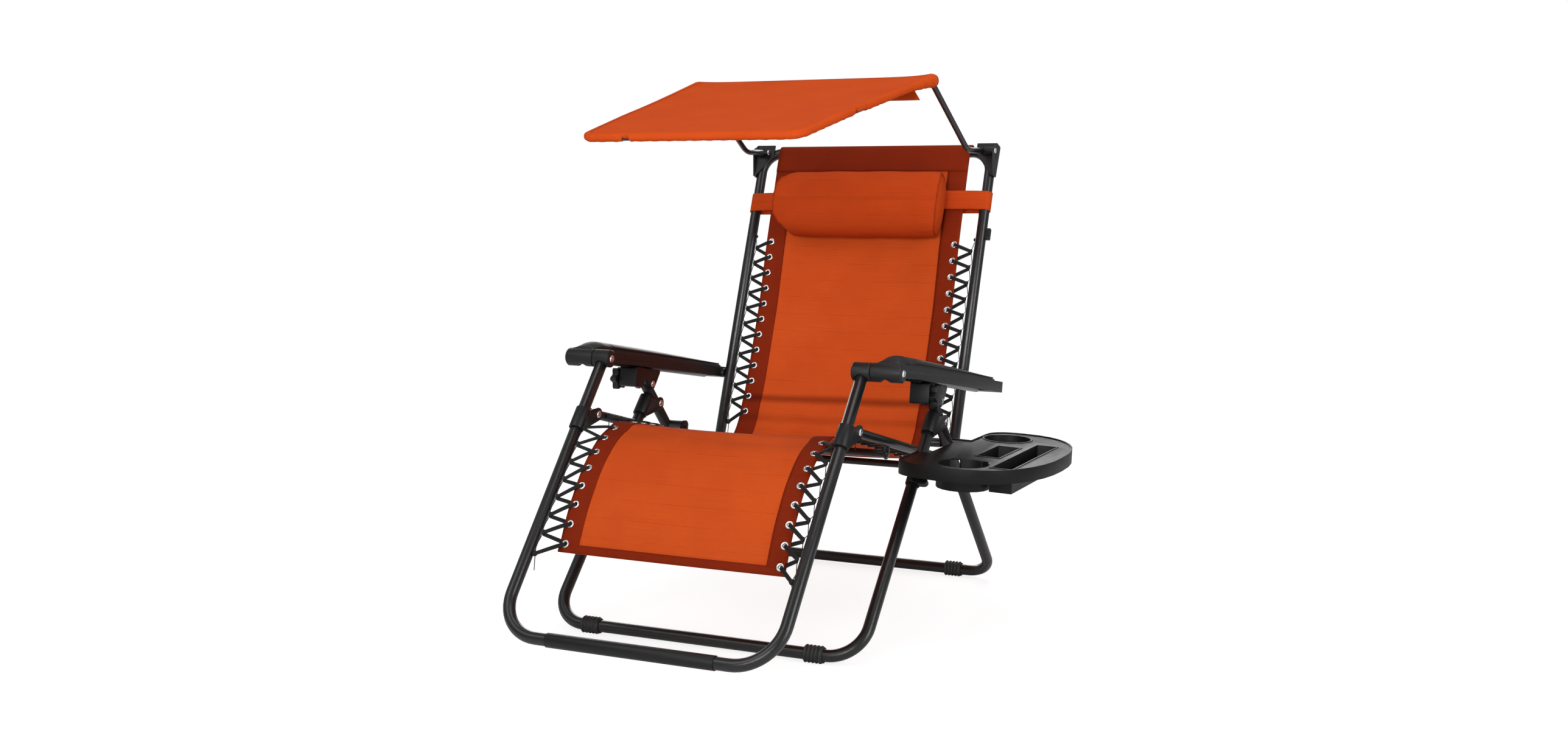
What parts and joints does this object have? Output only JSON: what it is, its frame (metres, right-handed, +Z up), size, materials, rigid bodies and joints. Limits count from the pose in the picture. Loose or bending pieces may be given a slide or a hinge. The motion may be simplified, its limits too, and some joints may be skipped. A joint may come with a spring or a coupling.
{
  "type": "sun lounger",
  "caption": "Reclining outdoor lounger: folding round-tube frame with laced sling, head pillow, tilting sun canopy, padded armrests with clamp locks and a clip-on side tray",
  "frame": {"origin": "middle of the footprint, on the floor under the feet", "axes": "+Z up, the sitter faces -Y, +X is the sitter's left, where the tray hangs"},
  "size_m": [1.018, 1.2284, 1.1687],
  "materials": {
    "frame_steel": "semi-gloss black powder coat with a fine pale speckle",
    "bracket_plastic": "moulded black plastic, satin",
    "arm_plastic": "moulded black plastic, satin wall and grained pad",
    "tray_plastic": "moulded black plastic, grained top and smooth skirt",
    "foot_rubber": "ribbed black rubber",
    "rivet_steel": "bright zinc",
    "orange_mesh": "burnt orange woven mesh",
    "pillow_fabric": "darker red-orange woven mesh",
    "elastic_cord": "black elastic cord"
  },
  "bodies": {
    "base_rear": {"base_rear_frame": "frame_steel", "foot_rear_left": "foot_rubber", "foot_rear_right": "foot_rubber", "fold_rivet_left": "rivet_steel", "fold_rivet_right": "rivet_steel", "lock_rivet_left": "rivet_steel", "lock_rivet_right": "rivet_steel"},
    "base_front": {"base_front_frame": "frame_steel", "foot_front_left": "foot_rubber", "foot_front_right": "foot_rubber", "fold_collar_left": "bracket_plastic", "fold_collar_right": "bracket_plastic", "tray_clamp": "bracket_plastic"},
    "seat": {"seat_rail_left": "frame_steel", "seat_rail_right": "frame_steel", "seat_cross_bar_front": "frame_steel", "seat_cross_bar_rear": "frame_steel", "sling_seat": "orange_mesh", "lacing_seat_left": "elastic_cord", "lacing_seat_right": "elastic_cord"},
    "leg": {"leg_frame": "frame_steel", "leg_bar_grip": "bracket_plastic", "leg_bracket_left": "bracket_plastic", "leg_bracket_right": "bracket_plastic", "knee_rivet_left": "rivet_steel", "knee_rivet_right": "rivet_steel", "armrest_cap_left": "arm_plastic", "armrest_cap_right": "arm_plastic", "armrest_bolt_left": "rivet_steel", "armrest_bolt_right": "rivet_steel", "sling_leg": "orange_mesh", "lacing_leg_left": "elastic_cord", "lacing_leg_right": "elastic_cord"},
    "arms": {"armrest_left": "arm_plastic", "armrest_right": "arm_plastic", "armrest_rod_left": "frame_steel", "armrest_rod_right": "frame_steel"},
    "back": {"back_frame": "frame_steel", "back_bracket_left": "bracket_plastic", "back_bracket_right": "bracket_plastic", "hip_rivet_left": "rivet_steel", "hip_rivet_right": "rivet_steel", "corner_bracket_left": "bracket_plastic", "corner_bracket_right": "bracket_plastic", "canopy_rivet_left": "rivet_steel", "canopy_rivet_right": "rivet_steel", "sling_back": "orange_mesh", "lacing_back_left": "elastic_cord", "lacing_back_right": "elastic_cord", "back_tube_clip": "bracket_plastic"},
    "lock": {"lock_body_left": "bracket_plastic", "lock_body_right": "bracket_plastic"},
    "canopy": {"canopy_frame": "frame_steel", "canopy_cloth": "orange_mesh"},
    "pillow": {"pillow": "pillow_fabric", "pillow_strap": "pillow_fabric"},
    "knob_left": {"lock_knob_left": "bracket_plastic"},
    "knob_right": {"lock_knob_right": "bracket_plastic"},
    "tray": {"side_tray": "tray_plastic"}
  },
  "joints": [
    {"name": "base_fold", "type": "hinge", "parent": "base_rear", "child": "base_front", "pos_m": [-0.11896, 0.11458, 0.42751], "axis": [1, 0, 0], "range_deg": [0, 84]},
    {"name": "recline", "type": "hinge", "parent": "base_rear", "child": "seat", "pos_m": [-0.11896, 0.165, 0.37199], "axis": [-1, 0, 0], "range_deg": [0, 20]},
    {"name": "leg_link", "type": "hinge", "parent": "seat", "child": "leg", "pos_m": [-0.11896, -0.23382, 0.44778], "axis": [-1, 0, 0], "range_deg": [0, 37.7]},
    {"name": "armrest_link", "type": "hinge", "parent": "leg", "child": "arms", "pos_m": [-0.11896, -0.19072, 0.56201], "axis": [-1, 0, 0], "range_deg": [-36.6, 0]},
    {"name": "back_link", "type": "hinge", "parent": "seat", "child": "back", "pos_m": [-0.11896, 0.29835, 0.31234], "axis": [-1, 0, 0], "range_deg": [0, 26.8]},
    {"name": "lock_link", "type": "hinge", "parent": "base_rear", "child": "lock", "pos_m": [-0.11896, 0.06873, 0.478], "axis": [-1, 0, 0], "range_deg": [0, 21.3]},
    {"name": "canopy_tilt", "type": "hinge", "parent": "back", "child": "canopy", "pos_m": [-0.11896, 0.57204, 1.01096], "axis": [1, 0, 0], "range_deg": [-60, 14]},
    {"name": "pillow_slide", "type": "slide", "parent": "back", "child": "pillow", "axis": [0, 0.3486, 0.9373], "range_m": [-0.03, 0.035]},
    {"name": "knob_turn_left", "type": "hinge", "parent": "lock", "child": "knob_left", "pos_m": [-0.49396, 0.00784, 0.49504], "axis": [1, 0, 0], "range_deg": [0, 180]},
    {"name": "knob_turn_right", "type": "hinge", "parent": "lock", "child": "knob_right", "pos_m": [0.25604, 0.00784, 0.49504], "axis": [1, 0, 0], "range_deg": [0, 180]},
    {"name": "tray_slide", "type": "slide", "parent": "base_rear", "child": "tray", "axis": [1, 0, 0], "range_m": [0, 0.1]}
  ],
  "couplings": [
    {"joint": "leg_link", "follows": "recline", "ratio": 1.881},
    {"joint": "back_link", "follows": "recline", "ratio": 1.333},
    {"joint": "lock_link", "follows": "recline", "ratio": 1.058},
    {"joint": "armrest_link", "follows": "recline", "ratio": -1.823}
  ]
}
